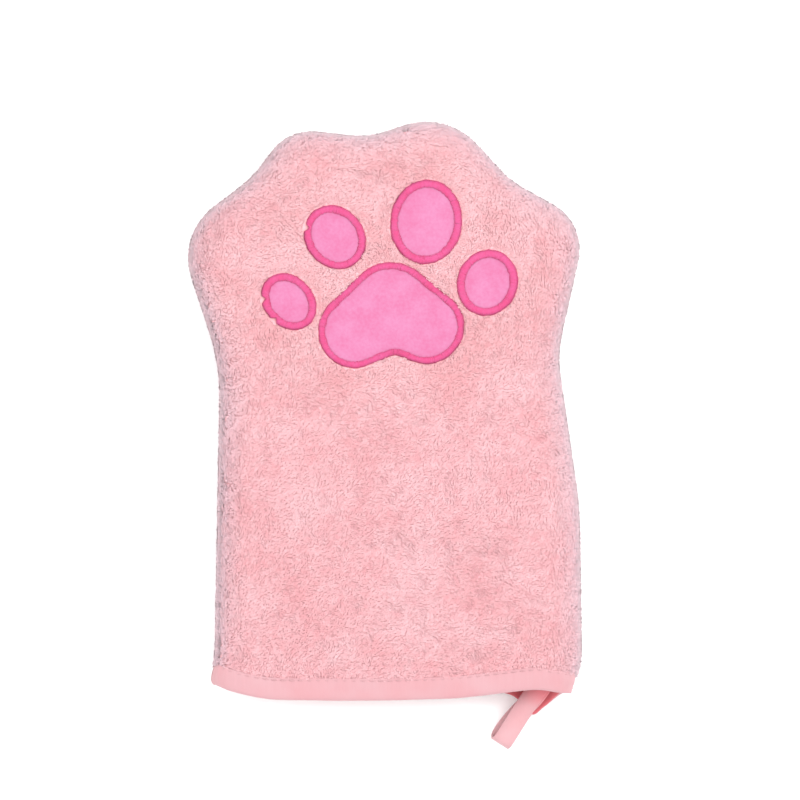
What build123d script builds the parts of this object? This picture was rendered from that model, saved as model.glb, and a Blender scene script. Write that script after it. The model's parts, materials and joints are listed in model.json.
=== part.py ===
from build123d import *
import math
import os

# A plush wash mitt in the shape of a paw, lying on its back, in millimetres.
# +X is to the right of the padded face, +Y runs from the cuff to the toes and
# +Z is up, out of the padded face. The origin is the centre of the mitt's
# 150 x 220 footprint, on the surface that the mitt lies on.

# ---- driving dimensions ----
MITT_LENGTH = 220.0      # cuff edge to the tips of the middle toes
MITT_THICKNESS = 22.0    # both panels, lying empty
CLOTH = 3.5              # plush cloth with its pile
EDGE_RADIUS = 8.5        # rounding of each panel towards the side seam
SEAM_GAP = 0.3           # clearance between the two panels at the seam plane
ALLOWANCE_WIDTH = 5.0    # seam allowance turned to the inside
ALLOWANCE_DEPTH = 1.5    # thickness of one allowance layer
ALLOWANCE_LAP = 0.2      # how far the allowance is let into the cloth
ALLOWANCE_START = 8.5    # the allowance starts this far above the cuff's edge

BINDING_WIDTH = 7.5      # visible width of the cuff binding
BINDING_OUTER = 0.3      # binding's outer face, below the pile's surface
BINDING_INNER = 3.2      # binding's inner face, below the pile's surface
CORE_OUTER = 1.2         # flattened plush held inside the binding
CORE_INNER = 2.3
BINDING_FOLD = 0.9       # tape that passes round the cuff edge
BINDING_CLEARANCE = 0.05  # between the binding's upper edge and the pile

PATCH_THICKNESS = 0.8    # short-nap pad fabric
PAD_RECESS = 1.6         # how far the pads press the pile down
SATIN_RISE = 1.2         # height of a satin border above the pressed pile
PATCH_OVERLAP = 1.2      # how far a patch runs under its satin border
BACKING_THICKNESS = 0.3  # embroidery backing on the inside of the front panel
BACKING_MARGIN = 2.0     # how far the backing runs past a satin border

TAPE_WIDTH = 7.5         # hanging loop tape
TAPE_THICKNESS = 1.1
LOOP_LENGTH = 22.0       # from the loop's bending line to the folded tip
LOOP_SPREAD = 4.8        # clear height inside the loop at its widest
LOOP_BELLY = 0.98        # how far the legs have spread where they turn level
LOOP_BELLY_AT = 0.45     # where they do so, along the loop's length
LOOP_BELLY_RADIUS = 30.0
LOOP_FOLD_ROUND = 0.8    # roundness of the folded tip
LOOP_BEND_X = 56.6       # centre of the line that the loop bends about
LOOP_BEND_Y = -109.5
LOOP_HEIGHT = 7.8        # the tape's middle, above the resting surface
LOOP_HEADING = 236.0     # direction in which the loop points, in degrees
TAIL_LENGTH = 21.5       # tape hidden inside the mitt
TAIL_CLEARANCE = 1.6     # from the bending line to the hidden tape

STITCH_LENGTH = 2.4
STITCH_PITCH = 3.4
THREAD = 0.5
BINDING_STITCH_INSET = 1.6  # cuff stitches, below the binding's upper edge
CORNER_MARGIN = 11.0     # cuff stitches stop short of the rounded sides
OVERLOCK_WIDTH = 2.0     # thread wrapped over the allowance's edge
OVERLOCK_THREAD = 0.35
OVERLOCK_START = 10.5    # overlocking starts this far above the cuff's edge
SEAM_INSET = 1.0         # closing seam, from the cloth's inner face
SEAM_START = 15.0        # closing seam starts this far above the cuff's end

BAR_TACK_STITCHES = 5
BAR_TACK_START = -16.8   # along the tape, from the bending line
BAR_TACK_PITCH = 0.9
BAR_TACK_MARGIN = 0.8    # stitches stop short of the tape's edges

# ---- derived dimensions ----
SEAM_Z = MITT_THICKNESS / 2
PANEL_HEIGHT = SEAM_Z - SEAM_GAP / 2
CUFF_END = -MITT_LENGTH / 2
BEYOND = 20.0            # how far the blanks run past the cuff before trimming

# Corners of the paw outline and the radius that rounds each one, from the
# left end of the cuff round the toes to the right end.
PAW_CORNERS = [
    ((-75.5, CUFF_END - BEYOND), 0),
    ((-64.8, -94.8), 29),
    ((-62.7, 17.8), 77),
    ((-79.2, 68.1), 24),
    ((-49.7, 89.8), 48),
    ((-37.1, 108.3), 18),
    ((-6.2, 104.7), 30),
    ((23.7, 114.9), 26),
    ((48.1, 88.0), 37),
    ((77.1, 72.2), 19),
    ((65.8, 21.9), 45),
    ((74.4, -36.5), 151),
    ((75.3, -94.8), 15),
    ((67.5, CUFF_END - BEYOND), 0),
]

# The main pad: a broad top, two side lobes and a notch below.
MAIN_PAD_CORNERS = [
    ((1.5, 62.6), 16.7),
    ((-26.4, 35.9), 14.0),
    ((-21.9, 11.1), 13.6),
    ((4.1, 22.0), 5.8),
    ((20.3, 15.1), 14.3),
    ((35.8, 34.6), 13.5),
]
MAIN_SATIN_WIDTH = 2.5

# Toe pads: name, centre x, centre y, half length, half width, heading, satin.
TOE_PADS = [
    ("inner_right_toe", 15.9, 72.5, 16.1, 13.7, 84, 2.9),
    ("inner_left_toe", -19.0, 66.6, 12.8, 11.1, 129, 2.7),
    ("outer_right_toe", 39.3, 49.2, 12.7, 11.5, 73, 2.9),
    ("outer_left_toe", -36.6, 42.0, 11.7, 9.5, 131, 2.8),
]

# The two edges of the cuff, from left to right. The back one is pulled out
# into a tongue under the hanging loop.
FRONT_HEM = [
    (-80, -102.4),
    (-66, -104.6),
    (-59, -106.6),
    (-47.5, -109.2),
    (-36, -110.0),
    (0, -110.1),
    (25, -109.4),
    (36, -108.4),
    (51, -106.6),
    (60, -106.2),
    (71, -108.2),
    (85, -110.5),
]
BACK_HEM = [
    (-80, -102.0),
    (-66, -104.8),
    (-59, -107.1),
    (-47.5, -110.0),
    (-36, -111.0),
    (0, -110.2),
    (38, -108.6),
    (49, -110.6),
    (56.3, -116.6),
    (62, -114.0),
    (71, -108.9),
    (85, -104.0),
]


def rounded_outline(corners):
    """Closed face whose corners are rounded, each with its own radius."""
    points = [point for point, radius in corners]
    radii = [radius for point, radius in corners]
    return make_face(FilletPolyline(*points, radius=radii, close=True))


def moved_in(face, distance):
    """The same outline, moved in by a distance, or out by a negative one."""
    if distance == 0:
        return face
    return offset(face, amount=-distance)


def dome(inset):
    """Upper half of the mitt's form, with its surface moved in by inset."""
    height = PANEL_HEIGHT - inset
    block = extrude(moved_in(PAW, inset), height)
    top_edges = block.edges().group_by(Axis.Z)[-1]
    return fillet(top_edges, EDGE_RADIUS - inset)


def layer(outer_inset, inner_inset):
    """Cloth between two insets, open along the seam plane."""
    return dome(outer_inset) - dome(inner_inset)


def beyond_hem(hem, shift):
    """Block over everything on the toe side of a cuff edge moved by shift."""
    edge = Spline(*[(x, y + shift) for x, y in hem])
    left, right = edge @ 0, edge @ 1
    frame_line = Polyline(right, (right.X, MITT_LENGTH), (left.X, MITT_LENGTH), left)
    return extrude(make_face(edge + frame_line), MITT_THICKNESS)


def cuff_band(hem, start, width):
    """Block along a cuff edge, from start above it and width wide."""
    return beyond_hem(hem, start) - beyond_hem(hem, start + width)


def allowance(hem):
    """Seam allowance: a flat strip turned in along the seam plane."""
    outline = moved_in(PAW, CLOTH - ALLOWANCE_LAP) - moved_in(PAW, CLOTH + ALLOWANCE_WIDTH)
    strip = extrude(outline, ALLOWANCE_DEPTH)
    return strip & beyond_hem(hem, ALLOWANCE_START)


def half_mitt(hem):
    """One panel, with its edge flattened where the binding holds it."""
    pile = layer(0, CLOTH) & beyond_hem(hem, BINDING_WIDTH)
    core = layer(CORE_OUTER, CORE_INNER) & cuff_band(hem, BINDING_FOLD, BINDING_WIDTH)
    return pile + core + allowance(hem)


def binding(hem):
    """Tape folded round the edge of one panel."""
    reach = BINDING_WIDTH - BINDING_CLEARANCE
    tape = layer(BINDING_OUTER, BINDING_INNER) & cuff_band(hem, 0, reach)
    core = layer(CORE_OUTER, CORE_INNER) & beyond_hem(hem, BINDING_FOLD)
    return tape - core


def stitch_row(row, start, end, height, size):
    """Separate stitches along a line, between two distances along it."""
    count = int((end - start) / STITCH_PITCH)
    stitches = []
    for number in range(count + 1):
        along = (start + number * STITCH_PITCH) / row.length
        spot = row @ along
        direction = row % along
        heading = math.degrees(math.atan2(direction.Y, direction.X))
        stitches.append(Pos(spot.X, spot.Y, height) * Rot(0, 0, heading) * Box(*size))
    return Compound(stitches)


def cuff_stitches(hem):
    """Row of stitches near the upper edge of the binding."""
    row = Spline(*[(x, y + BINDING_WIDTH - BINDING_STITCH_INSET) for x, y in hem[1:-1]])
    size = (STITCH_LENGTH, THREAD, THREAD)
    height = PANEL_HEIGHT - BINDING_OUTER
    return stitch_row(row, CORNER_MARGIN, row.length - CORNER_MARGIN, height, size)


def placed_front(shape):
    """Puts an upper half on top of the seam plane."""
    return Pos(0, 0, SEAM_Z + SEAM_GAP / 2) * shape


def placed_back(shape):
    """Turns an upper half over, to lie below the seam plane."""
    return Pos(0, 0, SEAM_Z - SEAM_GAP / 2) * mirror(shape, Plane.XY)


def toe_outline(pad, inset):
    name, x, y, half_length, half_width, heading, satin = pad
    return Pos(x, y) * Rot(0, 0, heading) * Ellipse(half_length - inset, half_width - inset)


PAW = rounded_outline(PAW_CORNERS)
MAIN_PAD = rounded_outline(MAIN_PAD_CORNERS)

# Each pad: name, then its outer, patch, fill and backing outlines.
PADS = [("main_pad", MAIN_PAD, moved_in(MAIN_PAD, MAIN_SATIN_WIDTH - PATCH_OVERLAP),
         moved_in(MAIN_PAD, MAIN_SATIN_WIDTH), moved_in(MAIN_PAD, -BACKING_MARGIN))]
for pad in TOE_PADS:
    PADS.append((pad[0], toe_outline(pad, 0), toe_outline(pad, pad[6] - PATCH_OVERLAP),
                 toe_outline(pad, pad[6]), toe_outline(pad, -BACKING_MARGIN)))


def panel_front():
    """Padded face: plush pressed down in a recess under each pad."""
    panel = half_mitt(FRONT_HEM)
    floor = PANEL_HEIGHT - PAD_RECESS
    for name, outer, patch, fill, backing in PADS:
        panel = panel - Pos(0, 0, floor) * extrude(outer, 2 * PAD_RECESS)
    return placed_front(panel)


def pad_patch(patch):
    floor = PANEL_HEIGHT - PAD_RECESS
    return placed_front(Pos(0, 0, floor) * extrude(patch, PATCH_THICKNESS))


def pad_border(outer, patch, fill):
    """Satin border: over the patch's edge inside, down to the pile outside."""
    floor = PANEL_HEIGHT - PAD_RECESS
    ring = extrude(outer - fill, SATIN_RISE) - extrude(patch, PATCH_THICKNESS)
    return placed_front(Pos(0, 0, floor) * ring)


def embroidery_backing():
    """Thin non-woven behind each embroidered pad."""
    ceiling = PANEL_HEIGHT - CLOTH
    sheets = []
    for name, outer, patch, fill, backing in PADS:
        sheet = extrude(backing, BACKING_THICKNESS)
        sheets.append(placed_front(Pos(0, 0, ceiling - BACKING_THICKNESS) * sheet))
    joined = sheets[0]
    for sheet in sheets[1:]:
        joined = joined + sheet
    return joined


def overlock():
    """Thread wrapped over the inner edge of the turned-in allowance."""
    outer = moved_in(PAW, CLOTH + ALLOWANCE_WIDTH - OVERLOCK_WIDTH)
    inner = moved_in(PAW, CLOTH + ALLOWANCE_WIDTH + OVERLOCK_THREAD)
    ring = extrude(outer - inner, ALLOWANCE_DEPTH + OVERLOCK_THREAD)
    wrapped = ring & beyond_hem(BACK_HEM, OVERLOCK_START)
    return placed_back(wrapped - allowance(BACK_HEM))


def closing_seam():
    """Lockstitch that joins the two allowances, seen on the back one."""
    line = moved_in(PAW, CLOTH + SEAM_INSET).face().outer_wire()
    size = (STITCH_LENGTH, THREAD, THREAD)
    row = stitch_row(line, 0, line.length - STITCH_PITCH, ALLOWANCE_DEPTH, size)
    kept = [stitch for stitch in row.solids() if stitch.center().Y > CUFF_END + SEAM_START]
    return placed_back(Compound(kept))


def tape_place():
    """Frame of the hanging loop: local X runs out along the tape."""
    return Pos(LOOP_BEND_X, LOOP_BEND_Y, LOOP_HEIGHT) * Rot(0, 0, LOOP_HEADING)


def hanging_loop():
    """Folded tape: two legs that spread towards a rounded fold at the tip."""
    root = TAPE_THICKNESS
    fold = LOOP_SPREAD / 2 + TAPE_THICKNESS
    belly = LOOP_LENGTH * LOOP_BELLY_AT
    spread = fold * LOOP_BELLY
    tip = fold * LOOP_FOLD_ROUND
    outline = rounded_outline([
        ((0, root), 0),
        ((belly, spread), LOOP_BELLY_RADIUS),
        ((LOOP_LENGTH, fold), tip),
        ((LOOP_LENGTH, -fold), tip),
        ((belly, -spread), LOOP_BELLY_RADIUS),
        ((0, -root), 0),
    ])
    solid = extrude(Plane.XZ * outline, TAPE_WIDTH / 2, both=True)
    hole = Plane.XZ * moved_in(outline, TAPE_THICKNESS)
    solid -= extrude(hole, TAPE_WIDTH, both=True)
    knuckle = Rot(90, 0, 0) * Cylinder(root, TAPE_WIDTH)
    return tape_place() * (solid + knuckle)


def loop_tails():
    """The tape's two hidden ends, laid together under the allowance."""
    length = TAIL_LENGTH - TAIL_CLEARANCE
    middle = -TAIL_CLEARANCE - length / 2
    return tape_place() * Pos(middle, 0, 0) * Box(length, TAPE_WIDTH, 2 * TAPE_THICKNESS)


def bar_tack():
    """Short dense stitches that fix the tape to the allowance."""
    bottom = -TAPE_THICKNESS - THREAD / 2
    top = SEAM_Z - SEAM_GAP / 2 - ALLOWANCE_DEPTH / 2 - LOOP_HEIGHT
    bar = Box(THREAD, TAPE_WIDTH - 2 * BAR_TACK_MARGIN, top - bottom)
    bars = []
    for number in range(BAR_TACK_STITCHES):
        along = BAR_TACK_START - number * BAR_TACK_PITCH
        bars.append(tape_place() * Pos(along, 0, (top + bottom) / 2) * bar)
    return Compound(bars)


nodes = {
    "front_panel": panel_front(),
    "back_panel": placed_back(half_mitt(BACK_HEM)),
    "front_cuff_binding": placed_front(binding(FRONT_HEM)),
    "back_cuff_binding": placed_back(binding(BACK_HEM)),
    "front_cuff_stitching": placed_front(cuff_stitches(FRONT_HEM)),
    "back_cuff_stitching": placed_back(cuff_stitches(BACK_HEM)),
    "embroidery_backing": embroidery_backing(),
    "closing_seam_thread": closing_seam(),
    "overlock_thread": overlock(),
    "hanging_loop": hanging_loop(),
    "hanging_loop_tails": loop_tails(),
    "loop_bar_tack": bar_tack(),
}
for name, outer, patch, fill, backing in PADS:
    nodes[name + "_patch"] = pad_patch(patch)
    nodes[name + "_border"] = pad_border(outer, patch, fill)

os.makedirs("parts", exist_ok=True)
for name, shape in nodes.items():
    export_step(shape, "parts/" + name + ".step")
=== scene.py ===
import json
import math

import bpy
import numpy as np
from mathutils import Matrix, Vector, noise
from mathutils.bvhtree import BVHTree
from mathutils.geometry import delaunay_2d_cdt


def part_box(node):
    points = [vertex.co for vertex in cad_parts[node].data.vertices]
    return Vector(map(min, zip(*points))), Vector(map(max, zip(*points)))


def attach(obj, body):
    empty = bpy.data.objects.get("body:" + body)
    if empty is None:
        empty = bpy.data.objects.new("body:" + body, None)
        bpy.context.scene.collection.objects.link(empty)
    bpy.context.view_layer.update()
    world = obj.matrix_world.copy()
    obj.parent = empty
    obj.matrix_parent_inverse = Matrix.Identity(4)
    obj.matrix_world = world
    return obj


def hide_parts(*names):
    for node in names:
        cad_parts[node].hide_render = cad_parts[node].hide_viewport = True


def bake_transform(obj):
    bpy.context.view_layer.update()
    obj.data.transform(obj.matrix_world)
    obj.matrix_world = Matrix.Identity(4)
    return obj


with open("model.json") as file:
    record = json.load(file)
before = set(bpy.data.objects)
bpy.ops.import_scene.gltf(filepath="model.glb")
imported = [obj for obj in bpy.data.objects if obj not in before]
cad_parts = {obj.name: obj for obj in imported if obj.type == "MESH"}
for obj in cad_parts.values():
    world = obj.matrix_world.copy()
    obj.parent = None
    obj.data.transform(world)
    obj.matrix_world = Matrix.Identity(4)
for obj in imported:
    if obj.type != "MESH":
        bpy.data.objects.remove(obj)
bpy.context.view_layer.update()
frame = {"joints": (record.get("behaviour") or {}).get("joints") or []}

# A plush paw mitt on its back. Lengths are in millimetres until a mesh is made.
MM = 0.001
UP = np.array([0.0, 0, 1])
SEED = 7

# ---- outlines, as the CAD model has them ----
CUFF_END = -110.0
PAW_CORNERS = [
    ((-75.5, CUFF_END - 20), 0), ((-64.8, -94.8), 29), ((-62.7, 17.8), 77), ((-79.2, 68.1), 24),
    ((-49.7, 89.8), 48), ((-37.1, 108.3), 18), ((-6.2, 104.7), 30), ((23.7, 114.9), 26),
    ((48.1, 88.0), 37), ((77.1, 72.2), 19), ((65.8, 21.9), 45), ((74.4, -36.5), 151),
    ((75.3, -94.8), 15), ((67.5, CUFF_END - 20), 0),
]
MAIN_PAD_CORNERS = [
    ((1.5, 62.6), 16.7), ((-26.4, 35.9), 14.0), ((-21.9, 11.1), 13.6),
    ((4.1, 22.0), 5.8), ((20.3, 15.1), 14.3), ((35.8, 34.6), 13.5),
]
TOE_PADS = {
    "inner_right_toe": (15.9, 72.5, 16.1, 13.7, 84, 2.9),
    "inner_left_toe": (-19.0, 66.6, 12.8, 11.1, 129, 2.7),
    "outer_right_toe": (39.3, 49.2, 12.7, 11.5, 73, 2.9),
    "outer_left_toe": (-36.6, 42.0, 11.7, 9.5, 131, 2.8),
}
MAIN_SATIN = 2.5
FRONT_HEM = [
    (-80, -102.4), (-66, -104.6), (-59, -106.6), (-47.5, -109.2), (-36, -110.0), (0, -110.1),
    (25, -109.4), (36, -108.4), (51, -106.6), (60, -106.2), (71, -108.2), (85, -110.5),
]
BACK_HEM = [
    (-80, -102.0), (-66, -104.8), (-59, -107.1), (-47.5, -110.0), (-36, -111.0), (0, -110.2),
    (38, -108.3), (49.5, -109.6), (56.6, -116.8), (62, -113.6), (70, -107.8), (85, -102.0),
]

# ---- cloth and pile ----
SEAM_Z = (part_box("back_panel")[1][2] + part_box("front_panel")[0][2]) / 2 / MM
TOP_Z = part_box("front_panel")[1][2] / MM
GROUND_INSET = 1.0       # knitted ground, inside the tips of the pile
FRONT_GROUND_Z = TOP_Z - 2.2
BACK_GROUND_Z = 1.6
EDGE_ROUND = 13.0        # how far in the panels curve down to the seam
CLOTH_THICK = 1.1
PAD_PRESS = 1.5          # how far embroidery presses the ground down
SHEET_STEP = 3.6         # spacing of the points of a sheet
EDGE_RINGS = (0.7, 2.0, 4.2)     # how far in the extra rows of points along the seam lie
SETTLE_CAP = 1.6         # the simulated cloth moves a point no further than about this
SETTLE_FRAMES = 20
SLACK_CLOTH = {
    "mass": 0.001, "tension_stiffness": 8, "compression_stiffness": 8, "shear_stiffness": 4,
    "bending_stiffness": 0.06, "shrink_min": -0.035, "use_pressure": True, "uniform_pressure_force": 0.3,
}
OUTLINE_STEP = 0.8
MAP_SPAN = 300.0         # side of the square of the plan that a texture map covers

TUFT_LENGTH = 1.8
TUFT_WIDTH = 0.5
FRONT_DENSITY = 5.5      # tufts per square millimetre
BACK_DENSITY = 2.4
FLANK_EXTRA = 1.2        # how much denser the pile is where the panel turns down
CLUMP = 1.5              # size of a clump, whose tips draw together
CLUMP_PULL = 0.3
PILE_LEAN = math.radians(50)
SWAY = 1.3               # radians between the tufts that lean most to either side
RISE = (0.18, 0.17)      # how steeply a tuft rises, as least value and range
STEEP_RISE = (0.34, 0.2)
RESTING_RISE = 0.28      # on the underside, where the mitt lies on its pile

# ---- pads ----
PATCH_OVERLAP = 1.0      # how far the fabric runs in under the satin
PATCH_LIFT = 0.75
PATCH_CROWN = 0.35
PATCH_THICK = 0.7
STITCH_STEP = 0.4
STITCH_WIDE = 0.5
STITCH_HIGH = 0.34
SATIN_LIFT = 0.75
SATIN_CROWN = 0.5
SATIN_REACH = -0.15      # outer ends of the stitches, from the pad's outline
UNDER_OUT = 0.2          # how far the under-stitched edge shows beyond them
BORDER_GAPS = [(-30.0, 70.3), (-46.4, 42.9), (-42.2, 35.0)]
GAP_DEPTH = 1.5
BACKING_GAP = 0.15
BACKING_THICK = 0.25

# ---- cuff ----
BINDING_WIDTH = 7.5
FOLD_REACH = 0.8
FOLD_GAP = 0.75          # between the tape and the cloth inside its fold
TAPE_WALL = 0.42
TAPE_MEETS = 0.5         # how far each tape's end passes the seam
CUFF_STEP = 0.9
CUFF_PITCH = 3.4         # from stitch to stitch
STITCH_ROW = 6.6         # from the edge to the row of stitches
CUFF_THREAD = 0.5        # thread widths

# ---- inside seam ----
ALLOWANCE = 5.2
SEAM_STEP = 1.2
SEAM_ROW = 1.9           # from the seam to the closing stitches
CLOSING_THREAD = 0.45
OVERLOCK_THREAD = 0.36
OVERLOCK_PITCH = 2.4
OVERLOCK_TURN = 10       # points to each turn of the overlock thread

# ---- hanging loop ----
LOOP_HEADING = 236.0
TAPE_WIDTH = 7.5
TAPE_THICK = 0.95
ROOT_SHADE_END = 3.5      # painted coral shade and light lie on the tape up to this far out, fading over this length
ROOT_SHADE_LENGTH = 7.0
# distance out, height and sideways shift along the tape, lower leg first
LOOP_ROUTE = [
    (-21.5, -0.62, 1.0), (-12, -0.62, 1.0), (-5, -0.62, 1.1), (0, -0.75, 0.9), (5, -1.7, 0.1),
    (11, -2.7, -0.8), (17, -2.85, -1.2), (20.4, -2.3, -0.9), (21.6, -0.6, -0.4), (21.5, 1.0, 0.1),
    (20.1, 2.5, 0.3), (16, 2.9, 0.2), (10, 2.5, 0.0), (5, 1.6, 0.0), (0, 0.75, 0.0),
    (-5, 0.62, 0.0), (-12, 0.62, 0.0), (-21.5, 0.62, 0.0),
]
BAR_TACK_START = -16.2   # along the loop's ends, inside the mitt
BAR_TACK_STEP = 0.5
BAR_TACK_COUNT = 9
BAR_TACK_THREAD = 0.42

# ---- studio, in metres and watts where no millimetres are meant ----
LEVEL_LIGHT = 2.1        # what the studio sends to a level white surface
KEY_LAMP = {"place": (0.55, 0.3, 1.1), "energy": 9.0, "size": 0.7}
FILL_LAMP = {"place": (-0.65, 0.08, 1.0), "energy": 3.8, "size": 0.9}
WORLD_LIGHT = 1.34
FLOOR_Z = -0.4           # millimetres
FLOOR_REACH = 3000.0     # millimetres
CAMERA_HEIGHT = 1.6
CAMERA_OFFSET = (5.9, 4.4)       # millimetres
FRAMED_LEVEL = 0.02      # height at which the framed width is measured
FRAMED_WIDTH = 305.34    # millimetres
SENSOR_WIDTH = 36.0      # millimetres


# -------- outlines
def unit(vectors):
    """The vectors, each made one long."""
    return vectors / (np.linalg.norm(vectors, axis=-1, keepdims=True) + 1e-12)


def left_of(directions):
    return np.stack([-directions[:, 1], directions[:, 0]], 1)


def looped(ring):
    """A ring's points with the first one again at the end."""
    return np.concatenate([ring, ring[:1]])


def rounded(corners):
    """Points round a closed polygon whose corners are rounded, each with its own radius."""
    count = len(corners)
    points = []
    for i, (corner, radius) in enumerate(corners):
        here = np.array(corner, float)
        if radius == 0:
            points.append(here[None])
            continue
        before = unit(corners[i - 1][0] - here)
        after = unit(corners[(i + 1) % count][0] - here)
        half = math.acos(float(before @ after)) / 2
        centre = here + unit(before + after) * radius / math.sin(half)
        start = here + before * radius / math.tan(half) - centre
        end = here + after * radius / math.tan(half) - centre
        first = math.atan2(start[1], start[0])
        turn = (math.atan2(end[1], end[0]) - first + math.pi) % (2 * math.pi) - math.pi
        angles = first + np.linspace(0, turn, max(3, int(abs(turn) * radius / OUTLINE_STEP) + 2))
        points.append(centre + radius * np.stack([np.cos(angles), np.sin(angles)], 1))
    return looped(np.concatenate(points))


def ellipse(x, y, a, b, heading):
    """A closed ellipse of half axes a and b, the first of them at a heading in degrees."""
    t = np.linspace(0, 2 * math.pi, 181)
    h = math.radians(heading)
    u, v = a * np.cos(t), b * np.sin(t)
    return np.stack([x + u * math.cos(h) - v * math.sin(h), y + u * math.sin(h) + v * math.cos(h)], 1)


def lengths_along(line):
    return np.concatenate([[0], np.cumsum(np.linalg.norm(np.diff(line, axis=0), axis=1))])


def values_at(at, lengths, values):
    """Columns of values, given at some lengths along a line, at other lengths."""
    return np.stack([np.interp(at, lengths, column) for column in values.T], 1)


def resampled(line, step):
    """The line's points at an even spacing, ends kept."""
    lengths = lengths_along(line)
    count = max(2, int(round(lengths[-1] / step)) + 1)
    return values_at(np.linspace(0, lengths[-1], count), lengths, line)


def smooth_line(points, step=OUTLINE_STEP):
    """A Catmull-Rom curve through the points."""
    p = np.array(points, float)
    p = np.concatenate([[2 * p[0] - p[1]], p, [2 * p[-1] - p[-2]]])
    out = []
    for a, b, c, d in zip(p[:-3], p[1:-2], p[2:-1], p[3:]):
        t = np.linspace(0, 1, 24, endpoint=False)[:, None]
        out.append(0.5 * (2 * b + (c - a) * t + (2 * a - 5 * b + 4 * c - d) * t ** 2
                          + (3 * b - a - 3 * c + d) * t ** 3))
    return resampled(np.concatenate(out + [p[-2:-1]]), step)


def left_normals(line):
    """Unit normals to the left of a line's direction."""
    return left_of(unit(np.gradient(line, axis=0)))


def inside(points, ring):
    """True for points inside a closed ring."""
    a, b = ring[:-1], ring[1:]
    result = np.zeros(len(points), bool)
    for (x0, y0), (x1, y1) in zip(a, b):
        cross = (y0 > points[:, 1]) != (y1 > points[:, 1])
        at = (x1 - x0) * (points[:, 1] - y0) / (y1 - y0 + 1e-12) + x0
        result ^= cross & (points[:, 0] < at)
    return result


def distance(points, line):
    """Distance from each point to a line."""
    best = np.full(len(points), 1e9)
    for a, b in zip(line[:-1], line[1:]):
        e = b - a
        t = np.clip((points - a) @ e / (e @ e + 1e-12), 0, 1)
        best = np.minimum(best, np.linalg.norm(points - a - t[:, None] * e, axis=1))
    return best


def nearest_on(points, line):
    """For each point, the number of the line's nearest point."""
    return np.argmin(np.linalg.norm(points[:, None, :] - line[None], axis=2), axis=1)


PAW = resampled(rounded(PAW_CORNERS), OUTLINE_STEP)     # runs clockwise: left cuff, toes, right cuff
PADS = {"main_pad": (rounded(MAIN_PAD_CORNERS), MAIN_SATIN)}
for pad_name, (x, y, a, b, heading, satin) in TOE_PADS.items():
    PADS[pad_name] = (ellipse(x, y, a, b, heading), satin)


def anticlockwise(ring):
    area = np.sum(ring[:-1, 0] * ring[1:, 1] - ring[1:, 0] * ring[:-1, 1])
    return ring if area > 0 else ring[::-1]


def inward(body):
    """Unit normals into an anticlockwise ring that has its last point left out."""
    return left_of(unit(np.roll(body, -1, 0) - np.roll(body, 1, 0)))


def shrunk(ring, amount):
    """A closed ring moved in by an amount."""
    body = anticlockwise(ring)[:-1]
    return looped(body + amount * inward(body))


# -------- meshes
def mesh_object(name, points, faces, material=None, smooth=True, per_face=None):
    """A mesh piece from points in millimetres and faces of one size."""
    points = np.asarray(points, np.float32) * MM
    faces = np.asarray(faces, np.int32)
    mesh = bpy.data.meshes.new(name)
    sides = faces.shape[1]
    mesh.vertices.add(len(points))
    mesh.vertices.foreach_set("co", points.ravel())
    mesh.loops.add(faces.size)
    mesh.loops.foreach_set("vertex_index", faces.ravel())
    mesh.polygons.add(len(faces))
    mesh.polygons.foreach_set("loop_start", np.arange(0, faces.size, sides, dtype=np.int32))
    mesh.polygons.foreach_set("use_smooth", np.full(len(faces), smooth))
    for entry in material if isinstance(material, list) else [material]:
        mesh.materials.append(entry)
    if per_face is not None:
        mesh.polygons.foreach_set("material_index", per_face.astype(np.int32))
    mesh.update(calc_edges=True)
    mesh.validate()
    obj = bpy.data.objects.new(name, mesh)
    bpy.context.collection.objects.link(obj)
    return obj


def shade_along(obj, normals):
    """Gives each vertex a shading normal, so that locks shade like the soft mass they form."""
    obj.data.normals_split_custom_set_from_vertices(normals.tolist())


def point_value(obj, name, values):
    """A number for each point, which the materials mix by."""
    layer = obj.data.attributes.new(name, "FLOAT", "POINT")
    layer.data.foreach_set("value", np.asarray(values, np.float32))


def plan_map(obj, lane=None):
    """Lays the texture map out as the plan of the mitt; lane 1 faces lie beside lane 0."""
    mesh = obj.data
    flat = coordinates(obj)[:, :2] / MAP_SPAN + 0.5
    corner = np.empty(len(mesh.loops), np.int32)
    mesh.loops.foreach_get("vertex_index", corner)
    place = flat[corner] * [0.5 if lane is not None else 1.0, 1.0]
    if lane is not None:
        place[:, 0] += 0.5 * np.repeat(lane, len(mesh.loops) // len(mesh.polygons))
    layer = mesh.uv_layers.new(name="OFBake")
    layer.data.foreach_set("uv", place.astype(np.float32).ravel())


def apply_modifiers(obj):
    graph = bpy.context.evaluated_depsgraph_get()
    mesh = bpy.data.meshes.new_from_object(obj.evaluated_get(graph), depsgraph=graph)
    old = obj.data
    obj.modifiers.clear()
    obj.data = mesh
    mesh.name = obj.name
    bpy.data.meshes.remove(old)


def vectors(items, key):
    """One vector of each item of a mesh, as an array."""
    out = np.empty(len(items) * 3, np.float32)
    items.foreach_get(key, out)
    return out.reshape(-1, 3).astype(float)


def coordinates(obj):
    return vectors(obj.data.vertices, "co") / MM


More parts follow.
